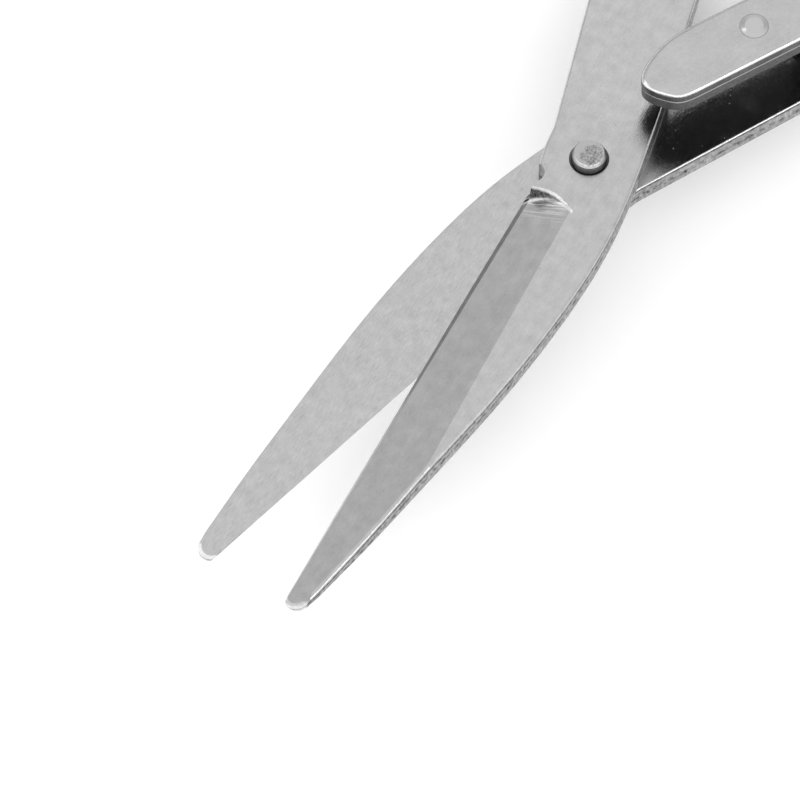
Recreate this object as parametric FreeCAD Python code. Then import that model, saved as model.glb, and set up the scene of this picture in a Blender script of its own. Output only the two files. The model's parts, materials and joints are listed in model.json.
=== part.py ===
"""Folding pocket scissors in stainless steel, millimetres, +Z up.

Two identical halves are flipped over each other about a plain pivot pin. Each half is a blade
with its tang, and a flat finger bow that swings round a fold rivet at the end of the tang.
The blades point along -Y, the bows along +Y, and the row frame's origin is at the bottom
centre of the whole object's box.
"""
import FreeCAD, Part
import math
import os
from FreeCAD import Vector

# ---- blade ----
BLADE_T = 2.15            # sheet thickness of a blade and its tang
BLADE_GAP = 0.05          # running gap between the two blades
EDGE_LAND = 0.35          # thickness left at the cutting edge by the wide bevel
EDGE_THIN = 0.09          # thickness left by the narrow sharpening bevel
MICRO_WIDTH = 0.50        # width of the narrow sharpening bevel at the heel
MICRO_TAPER = 0.60        # share of that width lost by the tip
BACK_ROUND = 0.28         # rounding of the outer face's edges
FLAT_ROUND = 0.12         # rounding of the inner face's edges
HALF_OPEN = 4.80          # degrees that each blade stands off the middle line at rest
HEEL = (-3.26, -4.6)      # where the cutting edge starts
TIP_EDGE = (-0.50, -49.4) # where the cutting edge ends
EDGE_BOW = 0.12           # how far the cutting edge bows out between its ends

# ---- main pivot ----
PIN_R = 1.45
PIN_CLEAR = 0.05          # radial running clearance in the turning blade
PIN_PROUD = 0.95          # height of the pin above the upper blade
PIN_CHAMFER = 0.28
PIN_HEAD_R = 2.40
PIN_HEAD_H = 0.40
HOLE_FLARE = 0.22         # countersink round the pin in the turning blade

# ---- fold joint ----
RIVET_X = -6.03           # place of the fold rivet on the tang
RIVET_Y = 22.56
TANG_R = 4.6              # round end of the tang
TANG_LEAN = 15.0          # degrees that the tang leans away from the blade
RIVET_R = 0.80
RIVET_CLEAR = 0.04
RIVET_HEAD_R = 1.12
RIVET_HEAD_H = 0.16
RIVET_FOOT_R = 1.50
RIVET_FOOT_H = 0.40
BUSH_R = 1.60
WASHER_R = 2.10
WASHER_T = 0.25
FACE_GAP = 0.05           # running gap on each side of the tang
BOW_CLEAR = 2.55          # space between a bow and the blade of the other half

# ---- finger bow ----
BOW_ANGLE = 23.8          # degrees that the bow leans away from the middle line at rest
SKIN_T = 1.00
LINER_T = 1.30
LINER_INSET = 0.07
SKIN_ROUND = 0.45
NOSE_Y = -17.1            # the bow's nose, past the fold rivet
BOW_END = 72.5            # the bow's far end
BOW_HALF = 16.0           # half of the bow's width
BAND = 5.0                # width of the bow's arms
SHANK_OUT = 3.1           # the shank's outer side, from the rivet's axis
SHANK_IN = -2.90          # the shank's inner side
NOSE_CENTRE = (0.3, -11.5)
BOW_CENTRE = (0.0, 43.0)
STUD_R = 0.75             # small rivets that hold skin and liner together
STUD_HEAD_R = 1.18
STUD_HEAD_H = 0.16

MID_Z = BLADE_T + BLADE_GAP / 2
BOW_Z = 2 * BLADE_T + BLADE_GAP + BOW_CLEAR


def vec(point, z=0.0):
    return Vector(point[0], point[1], z)


def line(a, b):
    return Part.LineSegment(vec(a), vec(b)).toShape()


def arc(a, mid, b):
    return Part.Arc(vec(a), vec(mid), vec(b)).toShape()


def spline(points, start=None, end=None):
    curve = Part.BSplineCurve()
    through = [vec(p) for p in points]
    if start is None:
        curve.interpolate(Points=through)
    else:
        curve.interpolate(Points=through, InitialTangent=vec(start), FinalTangent=vec(end))
    return curve.toShape()


def loop_curve(points):
    curve = Part.BSplineCurve()
    curve.interpolate(Points=[vec(p) for p in points], PeriodicFlag=True)
    return Part.Wire([curve.toShape()])


def prism(face, z0, height):
    solid = face.extrude(Vector(0, 0, height))
    solid.translate(Vector(0, 0, z0))
    return solid


def cylinder(radius, z0, z1, x=0.0, y=0.0):
    return Part.makeCylinder(radius, z1 - z0, Vector(x, y, z0))


def cone(r0, r1, z0, z1, x=0.0, y=0.0):
    return Part.makeCone(r0, r1, z1 - z0, Vector(x, y, z0))


# ---------------------------------------------------------------- blade
def tang_point(angle):
    """A point on the tang's round end, at an angle in degrees round the fold rivet."""
    turn = math.radians(angle)
    return (RIVET_X + TANG_R * math.cos(turn), RIVET_Y + TANG_R * math.sin(turn))


def blade_face():
    """The blade's outline, point down -Y, cutting edge at -X and back at +X."""
    tang_in = tang_point(TANG_LEAN)
    tang_end = tang_point(TANG_LEAN + 90)
    tang_out = tang_point(TANG_LEAN + 180)
    middle = (HEEL[1] + TIP_EDGE[1]) / 2
    tip_back = (1.42, -48.8)
    edge = arc(HEEL, (edge_x(middle) - EDGE_BOW, middle), TIP_EDGE)
    tip = arc(TIP_EDGE, (0.38, -49.74), tip_back)
    back = spline([tip_back, (1.9, -46.6), (2.6, -42.5), (3.85, -33.8), (5.1, -24.0), (5.72, -14.0),
                   (5.45, -6.0), (4.45, 0.2), (2.75, 7.6), tang_in], (0.35, 1.0), (-0.27, 1.0))
    end = arc(tang_in, tang_end, tang_out)
    outer = line(tang_out, (-4.35, 1.7))
    shoulder = spline([(-4.35, 1.7), (-3.95, -0.6), (-3.45, -2.5)], (0.27, -1.0), (0.25, -1.0))
    choil = arc((-3.45, -2.5), (-2.45, -3.6), HEEL)
    return Part.Face(Part.Wire([edge, tip, back, end, outer, shoulder, choil]))


def edge_x(y):
    """The straight line from the heel to the end of the cutting edge."""
    share = (y - HEEL[1]) / (TIP_EDGE[1] - HEEL[1])
    return HEEL[0] + share * (TIP_EDGE[0] - HEEL[0])


def wedge(places, section):
    """A wedge along the blade through several places, with section(y) giving its corners."""
    wires = []
    for y in places:
        corners = [Vector(x, y, z) for x, z in section(y)]
        wires.append(Part.makePolygon(corners + corners[:1]))
    return Part.makeLoft(wires, True, True)


def bevel_line_x(y):
    """Where the wide bevel meets the flat, which runs out into the back near the tip."""
    return 1.2 + (y + 4.9) * (3.6 - 1.2) / (-33.2 + 4.9)


def bevel_section(y):
    """Cross-section of what the wide bevel takes off the outer face."""
    x_edge = edge_x(y)
    slope = (BLADE_T - EDGE_LAND) / (bevel_line_x(y) - x_edge)
    z_far = EDGE_LAND - slope
    return [(bevel_line_x(y), BLADE_T), (x_edge - 1.0, z_far), (x_edge - 1.0, BLADE_T)]


def micro_section(y):
    """Cross-section of what the narrow sharpening bevel takes off."""
    x_edge = edge_x(y) - EDGE_BOW / 2
    slope = (BLADE_T - EDGE_LAND) / (bevel_line_x(y) - x_edge)
    share = (y - HEEL[1]) / (TIP_EDGE[1] - HEEL[1])
    width = MICRO_WIDTH * (1 - MICRO_TAPER * share)
    z_in = EDGE_LAND + slope * width
    steep = (z_in - EDGE_THIN) / width
    above = BLADE_T + 0.4
    return [(x_edge + width, z_in), (x_edge + width, above),
            (x_edge - 1.0, above), (x_edge - 1.0, EDGE_THIN - steep)]


def plunge_zone():
    """The ground zone in plan, with the curved run-out of the grinding wheel at the heel."""
    wires = []
    for z, shift in ((-0.5, -0.75), (BLADE_T + 0.5, 0.05)):
        left = (-4.4, -6.5 + shift)
        right = (1.35, -5.1 + shift)
        front = Part.Arc(vec(left, z), Vector(-1.0, -4.38 + shift, z), vec(right, z)).toShape()
        far_right = (12.0, -22.0)
        corners = [right, far_right, (12.0, -60.0), (-4.4, -60.0), left]
        sides = [Part.LineSegment(vec(a, z), vec(b, z)).toShape()
                 for a, b in zip(corners, corners[1:])]
        wires.append(Part.Wire([front] + sides))
    return Part.makeLoft(wires, True, True)


def upright(face):
    u0, u1, v0, v1 = face.ParameterRange
    return abs(face.normalAt((u0 + u1) / 2, (v0 + v1) / 2).z) < 0.01


def wall_edges(body, outer):
    """The long edges of the back, the tang and the shoulder, on the outer or inner face."""
    found = []
    for wall in body.Faces:
        box = wall.BoundBox
        if not upright(wall) or (box.XMax < 4.0 and box.YMin < -2.7):
            continue
        for edge in wall.Edges:
            heights = [v.Z for v in edge.Vertexes]
            if (outer and min(heights) > 0.2) or (not outer and max(heights) < 1e-4):
                found.append(edge)
    return found


def blade(turning):
    """A blade with its bevels on +Z and its flat inner face at z = 0."""
    body = prism(blade_face(), 0.0, BLADE_T)
    body = body.makeFillet(FLAT_ROUND, wall_edges(body, False))
    body = body.cut(wedge((-2.0, -56.0), bevel_section).common(plunge_zone()))
    body = body.makeFillet(BACK_ROUND, wall_edges(body, True))
    body = body.cut(wedge((HEEL[1] + 0.9, -56.0), micro_section))
    radius = PIN_R + PIN_CLEAR if turning else PIN_R
    body = body.cut(cylinder(radius, -1.0, BLADE_T + 1.0))
    if turning:
        flare = cone(radius, radius + 2 * HOLE_FLARE, BLADE_T - HOLE_FLARE, BLADE_T + HOLE_FLARE)
        body = body.cut(flare)
    rivet_hole = cylinder(RIVET_R + RIVET_CLEAR, -1.0, BLADE_T + 1.0, RIVET_X, RIVET_Y)
    return body.cut(rivet_hole).removeSplitter()


def pivot_pin():
    """Headed pin, pressed into the lower blade, with a chamfered top above the upper blade."""
    top = 2 * BLADE_T + BLADE_GAP + PIN_PROUD
    shank = cylinder(PIN_R, 0.0, top - PIN_CHAMFER)
    crown = cone(PIN_R, PIN_R - 0.6 * PIN_CHAMFER, top - PIN_CHAMFER, top)
    head = cone(PIN_HEAD_R - 0.2, PIN_HEAD_R, -PIN_HEAD_H, -PIN_HEAD_H + 0.2)
    collar = cylinder(PIN_HEAD_R, -PIN_HEAD_H + 0.2, 0.0)
    return shank.fuse([crown, head, collar]).removeSplitter()


# ---------------------------------------------------------------- bow
def inward(point, centre, inset):
    """A point moved towards a centre by the inset."""
    dx = centre[0] - point[0]
    dy = centre[1] - point[1]
    share = inset / math.hypot(dx, dy)
    return (point[0] + share * dx, point[1] + share * dy)


def bow_outline(inset):
    """The bow's outline about the fold rivet, far end along +Y and outer side at +X."""
    start_out = (SHANK_OUT - inset, NOSE_Y + 4.2)
    neck_out = (SHANK_OUT - inset, 1.0)
    neck_in = (SHANK_IN + inset, 1.0)
    start_in = (SHANK_IN + inset, NOSE_Y + 6.8)
    tip = [(-2.0, NOSE_Y + 2.2), (0.05, NOSE_Y), (2.2, NOSE_Y + 1.2)]
    round_nose = [inward(p, NOSE_CENTRE, inset) for p in tip]
    round_bow = [(6.2, 12.5), (13.2, 27.0), (BOW_HALF, 43.0), (11.8, 62.0), (0.0, BOW_END),
                 (-11.8, 62.0), (-BOW_HALF, 43.0), (-13.0, 27.0), (-5.9, 12.5)]
    round_bow = [inward(p, BOW_CENTRE, inset) for p in round_bow]
    nose = spline([start_in] + round_nose + [start_out], (0.0, -1.0), (0.0, 1.0))
    outer = spline([neck_out] + round_bow + [neck_in], (0.0, 1.0), (0.0, -1.0))
    return Part.Wire([nose, line(start_out, neck_out), outer, line(neck_in, start_in)])


def bow_hole(inset):
    """The finger hole, one band's width inside the bow's outline."""
    half = BOW_HALF - BAND
    side = [(4.0, 17.2), (9.0, 29.0), (half, 43.5), (8.0, 59.8)]
    mirror = [(-x, y) for x, y in reversed(side)]
    round_hole = [(0.0, 14.0)] + side + [(0.0, BOW_END - BAND)] + mirror
    return loop_curve([inward(p, BOW_CENTRE, -inset) for p in round_hole])


def bow_face(inset):
    return Part.Face(bow_outline(inset)).cut(Part.Face(bow_hole(inset))).Faces[0]


STUDS = [(0.0, NOSE_Y + 11.1), (0.2, 8.6), (13.2, 43.0), (-13.2, 43.0), (0.0, BOW_END - BAND / 2)]


def bow_sheet(inset, z0, thickness, rounded):
    """One sheet of the bow, drilled for the fold rivet and the small rivets."""
    sheet = prism(bow_face(inset), z0, thickness)
    if rounded:
        top = [e for e in sheet.Edges if e.BoundBox.ZMin > z0 + thickness - 1e-4]
        sheet = sheet.makeFillet(SKIN_ROUND, top)
    holes = [cylinder(RIVET_R, z0 - 1, z0 + thickness + 1)]
    for x, y in STUDS:
        holes.append(cylinder(STUD_R, z0 - 1, z0 + thickness + 1, x, y))
    return sheet.cut(holes)


def domed_head(radius, height, z0, x=0.0, y=0.0):
    """A low rivet head with a bevelled rim and a flat middle."""
    return cone(radius, 0.68 * radius, z0, z0 + height, x, y)


def bow_studs():
    """Small rivets, flush under the liner and slightly proud of the skin."""
    top = BOW_Z + LINER_T + SKIN_T
    studs = []
    for x, y in STUDS:
        shank = cylinder(STUD_R, BOW_Z, top, x, y)
        studs.append(shank.fuse(domed_head(STUD_HEAD_R, STUD_HEAD_H, top, x, y)).removeSplitter())
    return Part.makeCompound(studs)


def fold_rivet():
    """The rivet that the bow swings on, with its foot under the tang."""
    top = BOW_Z + LINER_T + SKIN_T
    foot_top = -FACE_GAP
    shank = cylinder(RIVET_R, foot_top, top)
    head = domed_head(RIVET_HEAD_R, RIVET_HEAD_H, top)
    foot = cone(0.75 * RIVET_FOOT_R, RIVET_FOOT_R, foot_top - RIVET_FOOT_H, foot_top)
    return shank.fuse([head, foot]).removeSplitter()


def ring(outer_r, z0, z1):
    return cylinder(outer_r, z0, z1).cut(cylinder(RIVET_R, z0 - 1, z1 + 1))


def bow_parts():
    """The pieces of one bow, standing over a tang whose top is at BLADE_T."""
    washer_z = BLADE_T + FACE_GAP
    bush_z = washer_z + WASHER_T
    return {
        "bow_skin": bow_sheet(0.0, BOW_Z + LINER_T, SKIN_T, True),
        "bow_liner": bow_sheet(LINER_INSET, BOW_Z, LINER_T, False),
        "bow_rivets": bow_studs(),
        "fold_rivet": fold_rivet(),
        "fold_bush": ring(BUSH_R, bush_z, BOW_Z),
        "fold_washer": ring(WASHER_R, washer_z, bush_z),
    }


# ---------------------------------------------------------------- assembly
Z_AXIS = Vector(0, 0, 1)
ORIGIN = Vector(0, 0, 0)


def turned(shape, angle, centre=ORIGIN):
    copy = shape.copy()
    copy.rotate(centre, Z_AXIS, angle)
    return copy


def flipped(shape):
    """Half a turn about the scissors' long axis, which swaps the two halves."""
    copy = shape.copy()
    copy.rotate(Vector(0, 0, MID_Z), Vector(0, 1, 0), 180)
    return copy


def rivet_place():
    """The lower half's fold rivet in the assembled scissors."""
    turn = math.radians(-HALF_OPEN)
    x = -RIVET_X
    return Vector(x * math.cos(turn) - RIVET_Y * math.sin(turn),
                  x * math.sin(turn) + RIVET_Y * math.cos(turn), 0)


def lower_blade(turning):
    """A blade laid bevel side down in the lower layer, tang towards +X."""
    laid = blade(turning)
    laid.rotate(ORIGIN, Vector(0, 1, 0), 180)
    laid.translate(Vector(0, 0, BLADE_T))
    return turned(laid, -HALF_OPEN)


def build():
    parts = {
        "lower_blade": lower_blade(False),
        "upper_blade": flipped(lower_blade(True)),
        "pivot_pin": pivot_pin(),
    }
    for name, shape in bow_parts().items():
        placed = turned(shape, -BOW_ANGLE)
        placed.translate(rivet_place())
        parts["right_" + name] = placed
        parts["left_" + name] = flipped(placed)
    return parts


def main():
    os.makedirs("parts", exist_ok=True)
    parts = build()
    box = Part.makeCompound(list(parts.values())).optimalBoundingBox(False, False)
    to_origin = Vector(-box.Center.x, -box.Center.y, -box.ZMin)
    for name, shape in parts.items():
        shape.translate(to_origin)
        shape.exportStep("parts/" + name + ".step")
        print(name, "valid", shape.isValid(), "volume", round(shape.Volume, 2))
    right = rivet_place() + to_origin
    left = Vector(-rivet_place().x, rivet_place().y, 0) + to_origin
    print("pivot", [round(v, 4) for v in to_origin])
    print("right fold", [round(v, 4) for v in right], "left fold", [round(v, 4) for v in left])
    print("size", round(box.XLength, 3), round(box.YLength, 3), round(box.ZLength, 3))


main()
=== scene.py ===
"""Folding pocket scissors in stainless steel, on a white studio floor. Metres."""
import bpy
import json
import math
from mathutils import Matrix, Vector


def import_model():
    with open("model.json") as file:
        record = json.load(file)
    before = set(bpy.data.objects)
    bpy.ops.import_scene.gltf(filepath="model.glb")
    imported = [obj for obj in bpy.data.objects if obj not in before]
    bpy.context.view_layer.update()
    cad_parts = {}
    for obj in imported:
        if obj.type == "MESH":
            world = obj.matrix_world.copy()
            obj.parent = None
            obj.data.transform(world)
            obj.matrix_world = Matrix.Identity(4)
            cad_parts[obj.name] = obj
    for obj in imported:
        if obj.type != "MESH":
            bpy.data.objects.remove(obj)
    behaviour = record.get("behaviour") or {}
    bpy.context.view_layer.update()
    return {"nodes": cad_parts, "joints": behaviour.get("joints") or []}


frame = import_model()

MM = 0.001
JOINTS = {j["name"]: j for j in frame["joints"]}
PIVOT = Vector(JOINTS["blade_pivot"]["pos_m"])
RIGHT_RIVET = Vector(JOINTS["right_fold"]["pos_m"])
LEFT_RIVET = Vector(JOINTS["left_fold"]["pos_m"])
HALF_OPEN = math.radians(4.8)
BOW_LEAN = math.radians(23.8)

# the blades, in millimetres about the pin: across from the middle line, with the
# cutting edge on the minus side, and along towards the tip
SHEET = 2.15
BLADE_GAP = 0.05
HEEL = (-3.26, 4.6)
TIP_CURVE = ((-0.50, 49.4), (0.38, 49.74), (1.42, 48.8))
EDGE_INSET = 0.06
SHARP_WIDTH = 0.50
SHARP_TAPER = 0.30
BEVEL_START = 0.784
BEVEL_DRIFT = 0.0848
RUN_OUT = (-1.0, 4.46)
RUN_OUT_CURVE = 0.135
RUN_OUT_END = 1.3

# the pin's top above PIVOT, and the skin-to-liner seam from the blades' middle plane
PIN_TOP = 5.30
SEAM = 6.025
STUD_RADIUS = 1.18
STUDS = ((0.0, -6.0), (0.2, 8.6), (13.2, 43.0), (-13.2, 43.0), (0.0, 70.0))


# ---------------------------------------------------------------- camera
CAM_AZIMUTH = math.radians(35.14)
CAM_HEIGHT = math.radians(58.17)
CAM_ROLL = math.radians(0.21)
CAM_DISTANCE = 0.8
CAM_LENS = 430.6
CAM_TARGET = PIVOT + Vector((-0.00020, -0.02737, 0.00144))


def direction(azimuth, height):
    """Unit vector from the object, with the azimuth turning right from the front."""
    return Vector((math.sin(azimuth) * math.cos(height),
                   -math.cos(azimuth) * math.cos(height),
                   math.sin(height)))


def camera():
    data = bpy.data.cameras.new("camera")
    data.lens = CAM_LENS
    data.sensor_width = 36.0
    data.clip_start = 0.01
    obj = bpy.data.objects.new("camera", data)
    bpy.context.scene.collection.objects.link(obj)
    away = direction(CAM_AZIMUTH, CAM_HEIGHT)
    turn = (-away).to_track_quat("-Z", "Y").to_matrix().to_4x4()
    place = Matrix.Translation(CAM_TARGET + CAM_DISTANCE * away)
    obj.matrix_world = place @ turn @ Matrix.Rotation(CAM_ROLL, 4, "Z")
    bpy.context.scene.camera = obj


# ---------------------------------------------------------------- studio
FRONT_LIGHT = 1.6
LIGHT_AIM = Vector((0, -0.02, 0.005))
FLOOR_GREY = 0.93
FLOOR_GLOW = 0.17


def world():
    """A soft white room: bright overhead and at the horizon, dimmer between."""
    made = bpy.data.worlds.new("studio")
    made.use_nodes = True
    tree = made.node_tree
    nodes = tree.nodes
    background = nodes["Background"]
    coord = nodes.new("ShaderNodeTexCoord")
    split = nodes.new("ShaderNodeSeparateXYZ")
    ramp = nodes.new("ShaderNodeValToRGB")
    tree.links.new(coord.outputs["Generated"], split.inputs[0])
    tree.links.new(split.outputs["Z"], ramp.inputs[0])
    # sine of the height above the horizon, and how bright the room is there
    fill_ramp(ramp.color_ramp, ((0.0, 0.95), (0.25, 0.80), (0.42, 0.67),
                                (0.55, 0.66), (0.80, 0.98), (1.0, 1.0)))
    tree.links.new(ramp.outputs[0], background.inputs["Color"])

    # the front of the room is brighter from the horizon to about forty degrees up
    ahead = nodes.new("ShaderNodeVectorMath")
    ahead.operation = "DOT_PRODUCT"
    ahead.inputs[1].default_value = (0.35, -1.0, 0.0)
    tree.links.new(coord.outputs["Generated"], ahead.inputs[0])
    front = smooth_range(tree, ahead.outputs["Value"], (0.05, 0.45), (0.0, FRONT_LIGHT))
    low = smooth_range(tree, split.outputs["Z"], (0.48, 0.70), (1.0, 0.0))
    product = nodes.new("ShaderNodeMath")
    product.operation = "MULTIPLY_ADD"
    tree.links.new(front, product.inputs[0])
    tree.links.new(low, product.inputs[1])
    product.inputs[2].default_value = 1.0
    tree.links.new(product.outputs[0], background.inputs["Strength"])
    bpy.context.scene.world = made


def smooth_range(tree, value, source, target):
    """A value carried from one range to another, smoothly and held at the ends."""
    node = tree.nodes.new("ShaderNodeMapRange")
    node.interpolation_type = "SMOOTHSTEP"
    tree.links.new(value, node.inputs["Value"])
    node.inputs["From Min"].default_value, node.inputs["From Max"].default_value = source
    node.inputs["To Min"].default_value, node.inputs["To Max"].default_value = target
    return node.outputs[0]


def fill_ramp(ramp, stops):
    while len(ramp.elements) < len(stops):
        ramp.elements.new(0.5)
    for element, (place, grey) in zip(ramp.elements, stops):
        element.position = place
        element.color = (grey, grey, grey, 1.0)


def area_light(name, azimuth, height, distance, size, power):
    """A soft box seen from the object at an azimuth and height in degrees."""
    data = bpy.data.lights.new(name, "AREA")
    data.shape = "RECTANGLE"
    data.size, data.size_y = size
    data.energy = power
    obj = bpy.data.objects.new(name, data)
    bpy.context.scene.collection.objects.link(obj)
    away = direction(math.radians(azimuth), math.radians(height))
    obj.location = LIGHT_AIM + distance * away
    obj.rotation_euler = (-away).to_track_quat("-Z", "Y").to_euler()


def floor():
    bpy.ops.mesh.primitive_plane_add(size=3.0, location=(0, 0, 0))
    plane = bpy.context.object
    plane.name = "studio_floor"
    made = bpy.data.materials.new("floor_white")
    made.use_nodes = True
    shader = made.node_tree.nodes["Principled BSDF"]
    shader.inputs["Base Color"].default_value = (FLOOR_GREY, FLOOR_GREY, FLOOR_GREY, 1)
    shader.inputs["Roughness"].default_value = 0.9
    shader.inputs["Specular IOR Level"].default_value = 0.1
    shader.inputs["Emission Color"].default_value = (1, 1, 1, 1)
    shader.inputs["Emission Strength"].default_value = FLOOR_GLOW
    plane.data.materials.append(made)


# ---------------------------------------------------------------- node helpers
class Graph:
    """Short names for building one material's nodes."""

    def __init__(self, name):
        self.material = bpy.data.materials.new(name)
        self.material.use_nodes = True
        self.tree = self.material.node_tree
        self.shader = self.tree.nodes["Principled BSDF"]

    def put(self, value, socket):
        if hasattr(value, "is_linked"):
            self.tree.links.new(value, socket)
        else:
            socket.default_value = value

    def math(self, operation, a, b=0.0):
        node = self.tree.nodes.new("ShaderNodeMath")
        node.operation = operation
        self.put(a, node.inputs[0])
        self.put(b, node.inputs[1])
        return node.outputs[0]

    def add(self, a, b):
        return self.math("ADD", a, b)

    def mul(self, a, b):
        return self.math("MULTIPLY", a, b)

    def sub(self, a, b):
        return self.math("SUBTRACT", a, b)

    def tint(self, base, mask, amount):
        """Base with an amount added where the mask is on."""
        return self.add(base, self.mul(mask, amount))

    def vary(self, base, noise, amount):
        """Base with a noise added about the noise's middle."""
        return self.tint(base, self.add(noise, -0.5), amount)

    def both(self, *masks):
        """1 only where every mask is 1."""
        product = masks[0]
        for mask in masks[1:]:
            product = self.mul(product, mask)
        return product

    def step(self, value, low, high):
        """0 at low and 1 at high, smooth between; low may be the larger of the two."""
        node = self.tree.nodes.new("ShaderNodeMapRange")
        node.interpolation_type = "SMOOTHSTEP"
        self.put(value, node.inputs["Value"])
        if low > high:
            low, high = high, low
            node.inputs["To Min"].default_value = 1.0
            node.inputs["To Max"].default_value = 0.0
        node.inputs["From Min"].default_value = low
        node.inputs["From Max"].default_value = high
        return node.outputs[0]

    def band(self, value, rise, fall):
        """1 between the end of the rise and the end of the fall, 0 outside both."""
        return self.mul(self.step(value, *rise), self.step(value, *fall))

    def reach(self, x, y, centre, weight=1.0):
        """Distance from a centre, with y counted less where the weight is below 1."""
        dx = self.add(x, -centre[0])
        dy = self.add(y, -centre[1])
        squares = self.add(self.mul(dx, dx), self.mul(self.mul(dy, dy), weight))
        return self.math("SQRT", squares)

    def place(self, origin, turn):
        """Position in millimetres about origin, with the axes turned about Z by turn."""
        coord = self.tree.nodes.new("ShaderNodeTexCoord")
        shift = self.tree.nodes.new("ShaderNodeVectorMath")
        shift.operation = "SUBTRACT"
        shift.inputs[1].default_value = origin
        self.tree.links.new(coord.outputs["Object"], shift.inputs[0])
        spin = self.tree.nodes.new("ShaderNodeVectorRotate")
        spin.rotation_type = "Z_AXIS"
        spin.inputs["Angle"].default_value = -turn
        self.tree.links.new(shift.outputs[0], spin.inputs["Vector"])
        scale = self.tree.nodes.new("ShaderNodeVectorMath")
        scale.operation = "SCALE"
        scale.inputs["Scale"].default_value = 1000.0
        self.tree.links.new(spin.outputs[0], scale.inputs[0])
        return scale.outputs[0]

    def xyz(self, vector):
        split = self.tree.nodes.new("ShaderNodeSeparateXYZ")
        self.tree.links.new(vector, split.inputs[0])
        return split.outputs

    def noise(self, vector, scale, detail=2.0, stretch=(1, 1, 1), turn=0.0):
        """Noise per millimetre, stretched along axes turned about Z."""
        mapping = self.tree.nodes.new("ShaderNodeMapping")
        mapping.vector_type = "TEXTURE"
        mapping.inputs["Rotation"].default_value = (0, 0, turn)
        mapping.inputs["Scale"].default_value = stretch
        self.tree.links.new(vector, mapping.inputs["Vector"])
        node = self.tree.nodes.new("ShaderNodeTexNoise")
        node.inputs["Scale"].default_value = scale
        node.inputs["Detail"].default_value = detail
        self.tree.links.new(mapping.outputs[0], node.inputs["Vector"])
        return node.outputs[0]

    def rings(self, place, centres, radius, width):
        """1 on a thin ring just outside a radius about each centre."""
        x, y = self.xyz(place)[:2]
        total = 0.0
        for centre in centres:
            away = self.reach(x, y, centre)
            total = self.add(total, self.band(away, (radius - 0.02, radius + 0.02),
                                              (radius + width + 0.04, radius + width)))
        return total

    def side_mask(self):
        """1 on walls that stand upright, 0 on level faces."""
        geometry = self.tree.nodes.new("ShaderNodeNewGeometry")
        z = self.xyz(geometry.outputs["Normal"])[2]
        return self.step(self.math("ABSOLUTE", z), 0.55, 0.15)

    def grey(self, value):
        """A neutral steel colour from one number."""
        node = self.tree.nodes.new("ShaderNodeCombineColor")
        for socket in node.inputs[:3]:
            self.put(value, socket)
        self.tree.links.new(node.outputs[0], self.shader.inputs["Base Color"])

    def bump(self, height, distance):
        node = self.tree.nodes.new("ShaderNodeBump")
        node.inputs["Strength"].default_value = 1.0
        node.inputs["Distance"].default_value = distance * MM
        self.put(height, node.inputs["Height"])
        self.tree.links.new(node.outputs[0], self.shader.inputs["Normal"])

    def metal(self, roughness):
        self.shader.inputs["Metallic"].default_value = 1.0
        self.put(roughness, self.shader.inputs["Roughness"])


# ---------------------------------------------------------------- steels
def circle_through(a, b, c):
    """Centre and radius of the circle through three points."""
    (ax, ay), (bx, by), (cx, cy) = a, b, c
    squares = [x * x + y * y for x, y in (a, b, c)]
    twice = 2.0 * (ax * (by - cy) + bx * (cy - ay) + cx * (ay - by))
    x = (squares[0] * (by - cy) + squares[1] * (cy - ay) + squares[2] * (ay - by)) / twice
    y = (squares[0] * (cx - bx) + squares[1] * (ax - cx) + squares[2] * (bx - ax)) / twice
    return (x, y), math.hypot(ax - x, ay - y)


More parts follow.
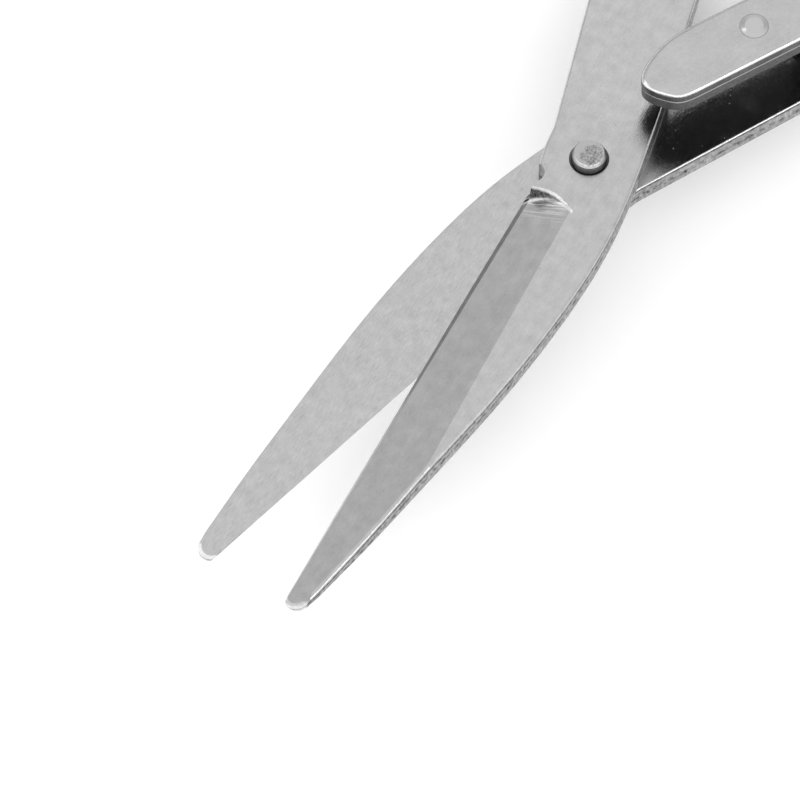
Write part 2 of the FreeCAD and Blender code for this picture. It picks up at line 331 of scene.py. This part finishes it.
def blade_steel(name, turn, side, brush_turn):
    """Satin blade steel with brush lines, a ground bevel and a rough sheared edge.

    side is 1 where the outer, bevelled face is up and -1 where it is down.
    """
    g = Graph(name)
    place = g.place(PIVOT, turn)
    x, y, z = g.xyz(place)[:3]
    across = g.mul(x, side)
    along = g.mul(y, -1.0)
    wall = g.side_mask()
    bevel_up = side > 0

    fine = g.noise(place, 7.0, 3.0, stretch=(0.35, 6.0, 1.0), turn=brush_turn)
    broad = g.noise(place, 0.7, 2.0, stretch=(0.5, 3.0, 1.0), turn=brush_turn)
    cloud = g.noise(place, 0.9, 4.0)
    grit = g.noise(place, 5.0, 3.0)
    scratch = g.noise(place, 5.0, 1.0, stretch=(0.16, 9.0, 1.0), turn=brush_turn + 0.07)
    scratch = g.step(scratch, 0.68, 0.74)
    speck = g.step(g.noise(place, 7.0, 0.0), 0.80, 0.84)

    # the wide bevel: past a line that drifts from the middle to the back
    line = g.add(g.mul(along, BEVEL_DRIFT), BEVEL_START)
    past = g.sub(line, across)
    outer = g.step(g.mul(z, side), 0.25 if bevel_up else -2.0, 0.45 if bevel_up else -1.9)
    bevel = g.both(g.step(past, -0.25, 0.65), g.step(along, 3.9, 4.4), outer)

    # the narrow sharpened band along the cutting edge, darkened as painted shade that fades
    # towards the tip; share runs from heel to tip
    corner = TIP_CURVE[0]
    share = g.mul(g.add(along, -HEEL[1]), 1 / (corner[1] - HEEL[1]))
    edge = g.add(HEEL[0] - EDGE_INSET + SHARP_WIDTH,
                 g.mul(share, corner[0] - HEEL[0] - SHARP_TAPER))
    shaded_sharp_band = g.both(g.step(g.sub(edge, across), -0.03, 0.03), g.step(along, 4.2, 4.6), outer)

    # the curved run-out of the wide bevel: a painted highlight on its rim over painted shade in
    # its hollow
    off_centre = g.add(across, -RUN_OUT[0])
    rim = g.add(RUN_OUT[1], g.mul(g.mul(off_centre, off_centre), RUN_OUT_CURVE))
    from_rim = g.sub(along, rim)
    ground = g.mul(outer, g.step(across, RUN_OUT_END + 0.3, RUN_OUT_END))
    slope = g.mul(g.add(RUN_OUT_END, g.mul(across, -1.0)), 0.10)
    foot = g.sub(from_rim, g.math("MAXIMUM", slope, 0.0))
    hollow_shade = g.both(g.step(from_rim, 0.05, 0.12), g.step(foot, 0.04, -0.08), ground)
    shine = g.mul(g.band(foot, (-0.05, 0.06), (0.36, 0.16)), ground)
    lip_highlight = g.mul(g.band(from_rim, (-0.04, 0.01), (0.13, 0.05)), ground)

    # cross-grinding stripes just past the run-out at the heel
    stripes = g.noise(place, 2.4, 1.0, stretch=(9.0, 0.50, 9.0), turn=0.15)
    stripes = g.both(g.step(stripes, 0.46, 0.60), g.step(along, 7.8, 5.4), bevel,
                     g.step(foot, 0.10, 0.25), g.step(shaded_sharp_band, 0.5, 0.1))

    # the rounded rim round the tip: a painted highlight, and a smoother finish there
    tip_centre, tip_radius = circle_through(*TIP_CURVE)
    from_tip = g.reach(across, along, tip_centre)
    tip_rim_highlight = g.mul(g.step(from_tip, tip_radius - 0.34, tip_radius - 0.24),
                    g.step(along, 48.8, 49.1))

    base = g.vary(0.545, fine, 0.16 if bevel_up else 0.34)
    base = g.vary(base, grit, 0.10)
    base = g.vary(base, broad, 0.06)
    base = g.vary(base, cloud, 0.18)
    base = g.tint(base, scratch, 0.05 if bevel_up else -0.12)
    base = g.tint(base, speck, -0.12)
    base = g.tint(base, bevel, -0.02)
    # painted shade on the steep sharpened band, lighter towards the tip
    base = g.tint(base, shaded_sharp_band, g.add(-0.30, g.mul(share, 0.28)))
    # painted shade in the run-out's hollow
    base = g.tint(base, hollow_shade, -0.24)
    # painted highlight on the rounded rim round the tip
    base = g.tint(base, tip_rim_highlight, 0.34)
    # painted highlight along the run-out's rim
    base = g.tint(base, g.math("MAXIMUM", shine, lip_highlight), 0.40)
    base = g.tint(base, stripes, 0.26)
    shear = g.noise(place, 3.2, 3.0, stretch=(1, 1, 1.8))
    base = g.tint(base, wall, g.vary(-0.20, shear, 0.6))

    # painted shade: a dark line under the rounded edge; and a broken line of tears lower down
    top = 2 * SHEET + BLADE_GAP if bevel_up else SHEET
    curl = 0.32 if bevel_up else 0.13
    drop = g.mul(g.math("MAXIMUM", past, 0.0), -0.36 if bevel_up else 0.0)
    depth = g.sub(g.add(drop, top), z)
    under_shade = g.band(depth, (curl - 0.02, curl + 0.06), (curl + 0.28, curl + 0.16))
    tears = g.mul(g.step(g.noise(place, 1.6, 2.0, stretch=(1, 1, 0.6)), 0.46, 0.56),
                  g.band(depth, (0.85, 1.0), (1.45, 1.25)))
    g.grey(g.tint(base, wall, g.tint(g.mul(under_shade, -0.24), tears, -0.20)))

    # the tang is polished brighter than the blade, with dust on it
    polish = g.step(along, -2.5, -6.5)
    dust = g.step(g.noise(place, 4.5, 0.0), 0.83, 0.86)
    rough = g.tint(0.25, broad, 0.10)
    rough = g.tint(rough, wall, 0.18)
    rough = g.tint(rough, stripes, -0.08)
    rough = g.tint(rough, polish, -0.17)
    rough = g.tint(rough, tip_rim_highlight, -0.15)
    rough = g.tint(rough, g.mul(polish, dust), 0.35)
    rough = g.tint(rough, g.mul(polish, g.step(grit, 0.50, 0.70)), 0.10)
    g.metal(g.math("MAXIMUM", rough, 0.10))

    height = g.tint(g.mul(fine, 0.5), g.mul(wall, shear), 3.0)
    g.bump(g.tint(height, stripes, 0.8), 0.012)
    return g.material


def bow_steel(name, origin, turn):
    """Polished satin sheet with faint lengthwise grain and handling marks."""
    g = Graph(name)
    place = g.place(origin, turn)
    grain = g.noise(place, 8.0, 3.0, stretch=(0.4, 5.0, 1.0), turn=0.12)
    cloud = g.noise(place, 0.5, 3.0)
    mark = g.noise(place, 4.0, 1.0, stretch=(0.2, 5.0, 1.0), turn=-0.5)
    grit = g.noise(place, 4.5, 3.0)
    base = g.vary(0.535, grain, 0.10)
    base = g.vary(base, grit, 0.12)
    base = g.vary(base, cloud, 0.14)
    # painted shade: the upright walls much darker than the faces
    base = g.tint(base, g.side_mask(), -0.44)
    # painted shade: a thin dark ring round each stud head where it meets the sheet
    base = g.tint(base, g.rings(place, STUDS, STUD_RADIUS, 0.07), -0.18)
    g.grey(g.tint(base, g.step(mark, 0.70, 0.75), -0.05))
    g.metal(g.tint(0.15, cloud, 0.12))
    g.bump(grain, 0.006)
    return g.material


def liner_steel(name, origin, turn):
    """Duller inner sheet with a rough cut edge, with painted shade darkening it over the folding
    joint.
    """
    g = Graph(name)
    place = g.place(origin, turn)
    blotch = g.noise(place, 1.6, 4.0)
    fine = g.noise(place, 10.0, 2.0, stretch=(0.5, 3.0, 1.0))
    wall = g.side_mask()
    y, z = g.xyz(place)[1:3]
    # painted highlight on the side wall just inside the seam, and the wall dull below
    level = g.math("ABSOLUTE", g.add(z, -(SHEET + BLADE_GAP / 2)))
    seam_highlight = g.band(level, (SEAM - 0.275, SEAM - 0.175), (SEAM + 0.035, SEAM - 0.045))
    # painted shade: the face is near black over the folding joint and lighter further along
    base = g.tint(0.035, blotch, 0.03)
    base = g.tint(base, g.step(y, 3.0, 15.0), 0.36)
    base = g.tint(base, wall, g.vary(0.05, fine, 0.2))
    # painted highlight just inside the seam
    g.grey(g.tint(base, g.mul(wall, seam_highlight), 0.42))
    g.metal(g.tint(0.30, blotch, 0.15))
    g.bump(fine, 0.01)
    return g.material


def pin_steel():
    """Turned pin: dull grey, with a pitted patch on one side of its top."""
    g = Graph("pin_steel_worn")
    place = g.place(PIVOT, 0.0)
    x, y, z = g.xyz(place)[:3]
    wall = g.side_mask()
    top = g.step(z, PIN_TOP - 0.70, PIN_TOP - 0.30)
    pits = g.noise(place, 6.5, 3.0)
    from_spot = g.reach(x, y, (0.30, -0.10), 0.7)
    patch = g.mul(g.step(g.vary(from_spot, pits, 1.0), 0.95, 0.60), top)
    grain = g.noise(place, 6.0, 2.0, stretch=(0.5, 2.5, 1.0), turn=0.6)
    rim = g.band(z, (PIN_TOP - 0.40, PIN_TOP - 0.30), (PIN_TOP - 0.06, PIN_TOP - 0.10))
    base = g.vary(0.50, grain, 0.14)
    base = g.tint(base, patch, g.mul(g.add(pits, -0.60), 1.1))
    # painted shade: a darker band just under the top edge, and the side wall darker below
    base = g.tint(base, rim, -0.16)
    base = g.tint(base, wall, -0.22)
    g.grey(g.math("MAXIMUM", base, 0.03))
    g.metal(g.tint(0.30, patch, 0.2))
    g.bump(g.mul(patch, pits), 0.06)
    return g.material


def rivet_steel(name, origin):
    """Bright peened rivet, with painted shade on faces that point down."""
    g = Graph(name)
    place = g.place(origin, 0.0)
    grain = g.noise(place, 5.0, 2.0)
    geometry = g.tree.nodes.new("ShaderNodeNewGeometry")
    under_shade = g.step(g.xyz(geometry.outputs["Normal"])[2], -0.5, -0.8)
    # painted shade on faces that point down
    g.grey(g.tint(g.vary(0.56, grain, 0.06), under_shade, -0.48))
    g.metal(g.tint(0.10, grain, 0.06))
    g.bump(grain, 0.01)
    return g.material


def paint(node, material):
    mesh = frame["nodes"][node].data
    mesh.materials.clear()
    mesh.materials.append(material)


def paint_all():
    paint("upper_blade", blade_steel("upper_blade_steel", HALF_OPEN, 1.0, 0.0))
    paint("lower_blade", blade_steel("lower_blade_steel", -HALF_OPEN, -1.0, 0.10))
    paint("pivot_pin", pin_steel())
    for side, rivet, turn in (("right", RIGHT_RIVET, -BOW_LEAN), ("left", LEFT_RIVET, BOW_LEAN)):
        bright = rivet_steel(side + "_rivet_steel", rivet)
        # the liner material carries painted shade as well as a duller finish
        dull_and_shaded = liner_steel(side + "_liner_steel", rivet, turn)
        paint(side + "_bow_skin", bow_steel(side + "_bow_steel", rivet, turn))
        paint(side + "_bow_liner", dull_and_shaded)
        paint(side + "_fold_bush", dull_and_shaded)
        paint(side + "_fold_washer", dull_and_shaded)
        paint(side + "_bow_rivets", bright)
        paint(side + "_fold_rivet", bright)


def main():
    camera()
    world()
    floor()
    area_light("right_strip", 92.0, 24.0, 0.7, (0.35, 0.06), 0.7)
    area_light("left_fill", 300.0, 40.0, 0.9, (0.5, 0.5), 0.8)
    paint_all()


main()
bpy.context.scene.view_settings.view_transform = "Standard"
